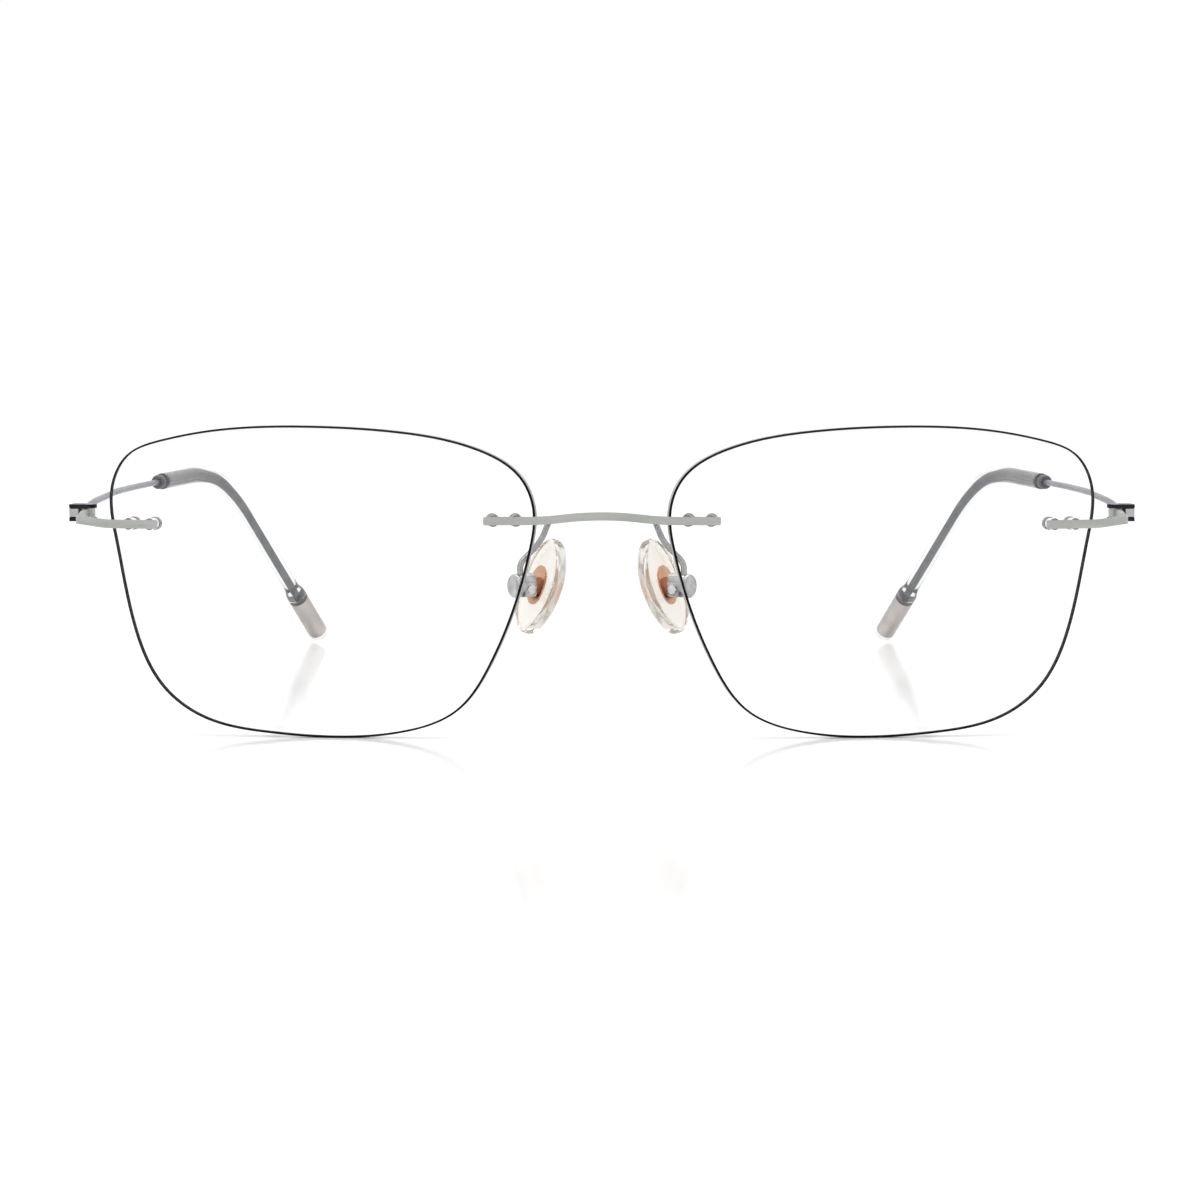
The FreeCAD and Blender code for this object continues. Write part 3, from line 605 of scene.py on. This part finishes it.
for t in np.linspace(0, 1, 13):
    # the flare is a Bezier curve whose two middle points stand half way along it
    s = 3 * (1 - t) ** 2 * t * 0.5 + 3 * (1 - t) * t ** 2 * 0.5 + t ** 3
    r = (1 - t) ** 2 * (1 + 2 * t) * temple["sleeve"] + t ** 2 * (3 - 2 * t) * temple["tip"]
    stations.append((flareStart + s * temple["flare"], r))
for angle in np.linspace(0, math.pi / 2, 12)[:-1]:
    stations.append((whole - temple["tip"] * (1 - math.sin(angle)), temple["tip"] * math.cos(angle)))
stations.append((whole, 0.0001))
sleevePart = sweep(sleevePath, stations, temple["sleeveSides"])
bothSides("tipSleeve", [sleevePart], [clearPlastic], "{}_temple", "{}_tip_sleeve", "sleeve_clear")

# insert: a dark front ring, then warm bright metal, along the straight end of the sleeve's path
insertFront = whole - temple["tipLength"]
insertRadius, chamfer = temple["insertRadius"], temple["insertChamfer"]
ringBack, ringInner = insertFront + temple["ringLength"], temple["ringInner"]
darkRing = sweep(sleevePath, [(insertFront, insertRadius - chamfer), (insertFront + chamfer, insertRadius),
                              (ringBack, insertRadius), (ringBack, ringInner)], temple["sleeveSides"], 1)
insertBack = insertFront + temple["insertLength"]
brightBody = sweep(sleevePath, [(ringBack, ringInner), (ringBack, insertRadius),
                                (insertBack - chamfer, insertRadius), (insertBack, insertRadius - chamfer)],
                   temple["sleeveSides"], 0)
insertDark = newMaterial("insertDark", (0.06, 0.058, 0.058), (0.03, 0.029, 0.029), (0.3, 0.4), metallic=1.0)
bothSides("tipInsert", [darkRing, brightBody], [insertMetal, insertDark], "{}_temple", "{}_tip_insert",
          "insert_metal")
print("temples")


# Nose pads: a rounded edge all round, and a shallow dish for the plate on the outer face.
pad = {"middle": (8.5, 7.1, 19.2), "splay": 36.0, "lean": 18.0, "height": 12.7, "width": 7.8,
       "thickness": 1.8, "soft": 0.6, "dish": 0.32, "around": 120, "arcSteps": 8,
       "outline": [(-0.50, 0.02), (-0.40, 0.31), (-0.06, 0.50), (0.30, 0.36), (0.47, 0.00), (0.46, -0.28),
                   (0.10, -0.50), (-0.32, -0.32)]}


# Lean about the pad's own X, then turn about Z, then move to its place.
def padToModel(points):
    points = np.asarray(points, float)
    lean = math.radians(-pad["lean"])
    x, y, z = points[:, 0], points[:, 1], points[:, 2]
    y, z = y * math.cos(lean) - z * math.sin(lean), y * math.sin(lean) + z * math.cos(lean)
    turn = math.radians(90 - pad["splay"])
    return np.stack([x * math.cos(turn) - y * math.sin(turn), x * math.sin(turn) + y * math.cos(turn), z],
                    axis=1) + pad["middle"]


def padPart():
    outline = periodicSpline([(x * pad["width"], z * pad["height"]) for x, z in pad["outline"]],
                             pad["around"])
    inner = insetOutline(outline, pad["soft"])
    shares = np.linspace(0.06, 0.94, 12)

    def ring(flat, depth):
        return padToModel(np.stack([flat[:, 0], np.broadcast_to(depth, len(flat)), flat[:, 1]], axis=1))

    rings = [ring(inner * share, pad["dish"] * (1 - share ** 2)) for share in shares]
    for angle in np.linspace(0, math.pi / 2, pad["arcSteps"]):
        rings.append(ring(insetOutline(outline, pad["soft"] * (1 - math.sin(angle))),
                          pad["soft"] * (1 - math.cos(angle))))
    for angle in np.linspace(0, math.pi / 2, pad["arcSteps"]):
        rings.append(ring(insetOutline(outline, pad["soft"] * (1 - math.cos(angle))),
                          pad["thickness"] - pad["soft"] * (1 - math.sin(angle))))
    rings += [ring(inner * share, pad["thickness"]) for share in shares[::-1]]
    return poledRings(rings, [0] * (len(rings) - 1))


nosePads = bothSides("nosePad", [padPart()], [padSoft], "{}_pad", "{}_nose_pad", "pad_soft", sharpAngle=60)
print("pads")

# the other CAD pieces are shown as they are
keptMaterials = {"bridge_bushing": bushingPlastic, "end_bushing": bushingPlastic, "end_piece": stripMetal,
                 "hinge_fork": hingeDark, "hinge_screw": screwSteel, "tip_collar": collarPlastic,
                 "pad_arm": armMetal, "pad_cup": cupMetal, "pad_screw": screwSteel,
                 "pad_insert": plateCopper, "bridge": stripMetal}
for name, node in nodes.items():
    kind = name.replace("left_", "").replace("right_", "")
    if kind in keptMaterials:
        if not node.material_slots:
            node.data.materials.append(keptMaterials[kind])
        for materialSlot in node.material_slots:
            materialSlot.material = keptMaterials[kind]


# floor, world, lamps and camera, in metres
floorLook = {"half": 6, "dark": (0.90, 0.90, 0.90, 1), "light": (0.91, 0.91, 0.91, 1), "roughness": 0.12,
             "specular": 0.35, "lift": 0.16}
worldLook = {"seen": 1.0, "soft": 0.62}
lamps = [{"name": "topLamp", "at": (0.0, 0.05, 0.7), "aim": (0, 0, 0), "size": 0.7, "power": 2.6},
         {"name": "sideLamp", "at": (-0.55, -0.45, 0.45), "aim": (0, 0, 0.02), "size": 0.35, "power": 0.8}]
viewpoint = {"at": (-0.000255, -0.41118, 0.04549), "down": 4.6, "lens": 82.0, "sensor": 36.0, "near": 0.01}


# Pale paper. Emission for camera and transmission rays lifts it to white, and it still takes a shadow.
def makeFloor():
    mesh = bpy.data.meshes.new("floor")
    half = floorLook["half"]
    corners = [(-half, -half, 0), (half, -half, 0), (half, half, 0), (-half, half, 0)]
    mesh.from_pydata(corners, [], [(0, 1, 2, 3)])
    mat = bpy.data.materials.new("floorPaper")
    mat.use_nodes = True
    tree = mat.node_tree
    shader, output = tree.nodes["Principled BSDF"], tree.nodes["Material Output"]
    noise = tree.nodes.new("ShaderNodeTexNoise")
    noise.inputs["Scale"].default_value = 4
    ramp = tree.nodes.new("ShaderNodeMix")
    ramp.data_type = "RGBA"
    ramp.inputs[6].default_value = floorLook["dark"]
    ramp.inputs[7].default_value = floorLook["light"]
    tree.links.new(noise.outputs["Fac"], ramp.inputs["Factor"])
    tree.links.new(ramp.outputs[2], shader.inputs["Base Color"])
    shader.inputs["Roughness"].default_value = floorLook["roughness"]
    shader.inputs["Specular IOR Level"].default_value = floorLook["specular"]
    path = tree.nodes.new("ShaderNodeLightPath")
    lift = tree.nodes.new("ShaderNodeEmission")
    lift.inputs["Strength"].default_value = floorLook["lift"]
    none = tree.nodes.new("ShaderNodeEmission")
    none.inputs["Strength"].default_value = 0.0
    mix, add = tree.nodes.new("ShaderNodeMixShader"), tree.nodes.new("ShaderNodeAddShader")
    seen = tree.nodes.new("ShaderNodeMath")
    seen.operation = "MAXIMUM"
    tree.links.new(path.outputs["Is Camera Ray"], seen.inputs[0])
    tree.links.new(path.outputs["Is Transmission Ray"], seen.inputs[1])
    tree.links.new(seen.outputs[0], mix.inputs[0])
    tree.links.new(none.outputs[0], mix.inputs[1])
    tree.links.new(lift.outputs[0], mix.inputs[2])
    tree.links.new(shader.outputs[0], add.inputs[0])
    tree.links.new(mix.outputs[0], add.inputs[1])
    tree.links.new(add.outputs[0], output.inputs["Surface"])
    mesh.materials.append(mat)
    floor = bpy.data.objects.new("floor", mesh)
    bpy.context.scene.collection.objects.link(floor)


# White where it is seen directly, in metal or through glass, and softer as light.
def makeWorld():
    world = bpy.data.worlds.new("studio")
    bpy.context.scene.world = world
    world.use_nodes = True
    tree = world.node_tree
    seenLight = tree.nodes["Background"]
    seenLight.inputs["Color"].default_value = (1, 1, 1, 1)
    seenLight.inputs["Strength"].default_value = worldLook["seen"]
    soft = tree.nodes.new("ShaderNodeBackground")
    soft.inputs["Color"].default_value = (1, 1, 1, 1)
    soft.inputs["Strength"].default_value = worldLook["soft"]
    path = tree.nodes.new("ShaderNodeLightPath")
    first, second = tree.nodes.new("ShaderNodeMath"), tree.nodes.new("ShaderNodeMath")
    first.operation = second.operation = "MAXIMUM"
    tree.links.new(path.outputs["Is Camera Ray"], first.inputs[0])
    tree.links.new(path.outputs["Is Glossy Ray"], first.inputs[1])
    tree.links.new(first.outputs[0], second.inputs[0])
    tree.links.new(path.outputs["Is Transmission Ray"], second.inputs[1])
    mix = tree.nodes.new("ShaderNodeMixShader")
    tree.links.new(second.outputs[0], mix.inputs[0])
    tree.links.new(soft.outputs[0], mix.inputs[1])
    tree.links.new(seenLight.outputs[0], mix.inputs[2])
    tree.links.new(mix.outputs[0], tree.nodes["World Output"].inputs["Surface"])


def makeLamp(name, at, aim, size, power):
    data = bpy.data.lights.new(name, "AREA")
    data.shape, data.size, data.energy = "SQUARE", size, power
    lamp = bpy.data.objects.new(name, data)
    lamp.location = at
    direction = np.array(aim) - np.array(at)
    lamp.rotation_euler = Vector(direction.tolist()).to_track_quat("-Z", "Y").to_euler()
    lamp.visible_camera = False
    bpy.context.scene.collection.objects.link(lamp)


makeFloor()
makeWorld()
for lamp in lamps:
    makeLamp(**lamp)
camera = bpy.data.cameras.new("camera")
camera.lens = viewpoint["lens"]
camera.sensor_width = viewpoint["sensor"]
camera.clip_start = viewpoint["near"]
cameraObject = bpy.data.objects.new("camera", camera)
cameraObject.location = viewpoint["at"]
cameraObject.rotation_euler = (math.radians(90 - viewpoint["down"]), 0, 0)
bpy.context.scene.collection.objects.link(cameraObject)
bpy.context.scene.camera = cameraObject
bpy.context.scene.view_settings.view_transform = "Standard"
print("stage")
